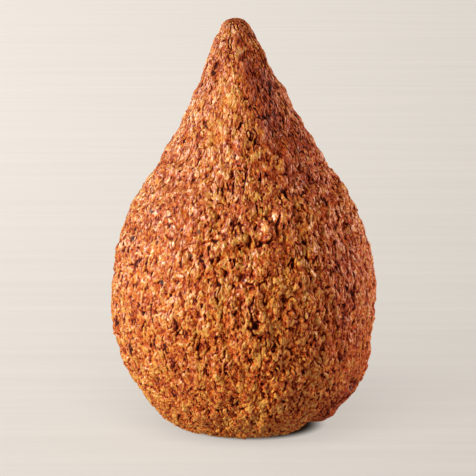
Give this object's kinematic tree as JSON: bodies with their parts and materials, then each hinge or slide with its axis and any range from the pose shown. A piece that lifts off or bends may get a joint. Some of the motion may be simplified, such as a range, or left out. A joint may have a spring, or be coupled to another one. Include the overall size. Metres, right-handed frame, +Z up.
{
  "type": "kibbeh coxinha",
  "caption": "Drop-shaped fried kibbeh coxinha with a rough bulgur crust and a pointed top, standing on a small flat spot.",
  "frame": {"origin": "centre of the flat spot it stands on", "axes": "+Z up to the pointed tip, -Y towards the side that is seen first, with the torn flaps and the tucked fold"},
  "size_m": [0.0538, 0.054, 0.0854],
  "materials": {
    "fried_crust": "matte"
  },
  "bodies": {
    "root": {"kibbeh_coxinha": "fried_crust"}
  },
  "joints": []
}
